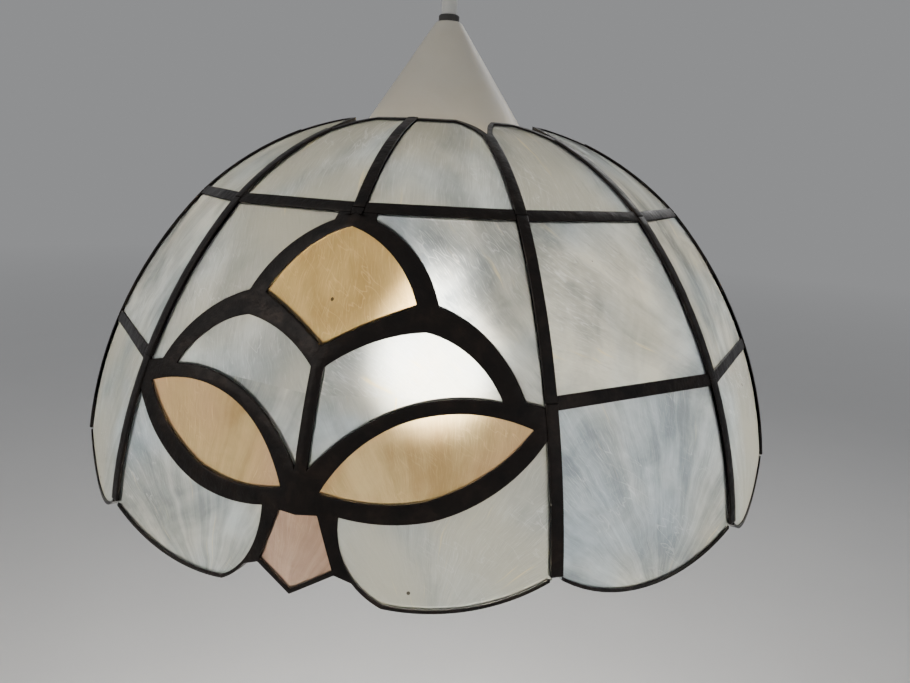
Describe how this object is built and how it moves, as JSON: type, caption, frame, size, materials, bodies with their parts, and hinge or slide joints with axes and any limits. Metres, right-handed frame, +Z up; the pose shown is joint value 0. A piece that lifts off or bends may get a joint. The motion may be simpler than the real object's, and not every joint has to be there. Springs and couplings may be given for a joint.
{
  "type": "pendant lamp",
  "caption": "Ceiling pendant lamp: a faceted dome shade of shell panes in dark metal came with a lotus design, scalloped rims, a conical cover, a lampholder and a ceiling cup.",
  "frame": {"origin": "middle of the ceiling plate's upper face, where the lamp meets the ceiling", "axes": "+Z up, out of the ceiling plate; -Y towards the side of the first flower; X along the bail's crosspiece and the two ceiling screws"},
  "size_m": [0.3556, 0.3568, 0.3122],
  "materials": {
    "patina_metal": "dark brown patina over solder, matt",
    "pale_shell": "translucent capiz shell, off-white",
    "amber_shell": "translucent capiz shell dyed amber",
    "pink_shell": "translucent capiz shell dyed pinkish brown",
    "cream_plastic": "cream moulded plastic",
    "white_plastic": "white moulded plastic",
    "nylon": "natural nylon",
    "cord_sheath": "white flexible sheath",
    "core_sheath": "flexible core insulation",
    "grip_rubber": "soft grey rubber",
    "zinc_steel": "zinc-plated sheet and wire",
    "screw_steel": "plated screws",
    "brass": "plain brass contacts and screws",
    "ceramic": "white ceramic",
    "cap_aluminium": "bare aluminium",
    "black_glass": "black vitreous insulator",
    "bulb_glass": "frosted glass",
    "filament": "light-giving rods on a stem"
  },
  "bodies": {
    "ceiling": {"ceiling_bracket": "zinc_steel", "ceiling_bail": "zinc_steel", "ceiling_cup": "white_plastic", "cup_screws": "screw_steel"},
    "pendant": {"centre_contact": "brass", "contact_insert": "ceramic", "cord": "cord_sheath", "cord_cores": "core_sheath", "cord_grip": "grip_rubber", "cord_hanger": "nylon", "crown_edging": "patina_metal", "crown_panels": "pale_shell", "flower_1_background": "pale_shell", "flower_1_bud": "pink_shell", "flower_1_came": "patina_metal", "flower_1_leaves": "amber_shell", "flower_1_lower_panels": "pale_shell", "flower_1_side_petals": "pale_shell", "flower_1_top_petal": "amber_shell", "flower_2_background": "pale_shell", "flower_2_bud": "pink_shell", "flower_2_came": "patina_metal", "flower_2_leaves": "amber_shell", "flower_2_lower_panels": "pale_shell", "flower_2_side_petals": "pale_shell", "flower_2_top_petal": "amber_shell", "flower_3_background": "pale_shell", "flower_3_bud": "pink_shell", "flower_3_came": "patina_metal", "flower_3_leaves": "amber_shell", "flower_3_lower_panels": "pale_shell", "flower_3_side_petals": "pale_shell", "flower_3_top_petal": "amber_shell", "holder_body": "white_plastic", "holder_cap": "white_plastic", "holder_terminals": "brass", "lower_panels": "pale_shell", "middle_panels": "pale_shell", "middle_ring_came": "patina_metal", "rib_came": "patina_metal", "scallop_edging": "patina_metal", "shell_contact": "brass", "spider": "patina_metal", "terminal_block": "nylon", "terminal_screws": "brass", "upper_ring_came": "patina_metal"},
    "bulb": {"bulb_cap": "cap_aluminium", "bulb_contact": "brass", "bulb_insulator": "black_glass", "bulb_glass": "bulb_glass", "bulb_filaments": "filament"},
    "shade_ring": {"shade_ring": "white_plastic"},
    "cone": {"cone_cover": "cream_plastic", "cone_grommet": "grip_rubber"}
  },
  "joints": [
    {"name": "pendant_swing", "type": "hinge", "parent": "ceiling", "child": "pendant", "pos_m": [0, 0, -0.031], "axis": [1, 0, 0], "range_deg": [-10, 10]},
    {"name": "bulb_turn", "type": "hinge", "parent": "pendant", "child": "bulb", "pos_m": [0, 0, -0.191], "axis": [0, 0, -1], "range_deg": [0, 1080]},
    {"name": "shade_ring_turn", "type": "hinge", "parent": "pendant", "child": "shade_ring", "pos_m": [0, 0, -0.19], "axis": [0, 0, -1], "range_deg": [0, 720]},
    {"name": "cone_lift", "type": "slide", "parent": "pendant", "child": "cone", "axis": [0, 0, 1], "range_m": [0, 0.025]}
  ]
}
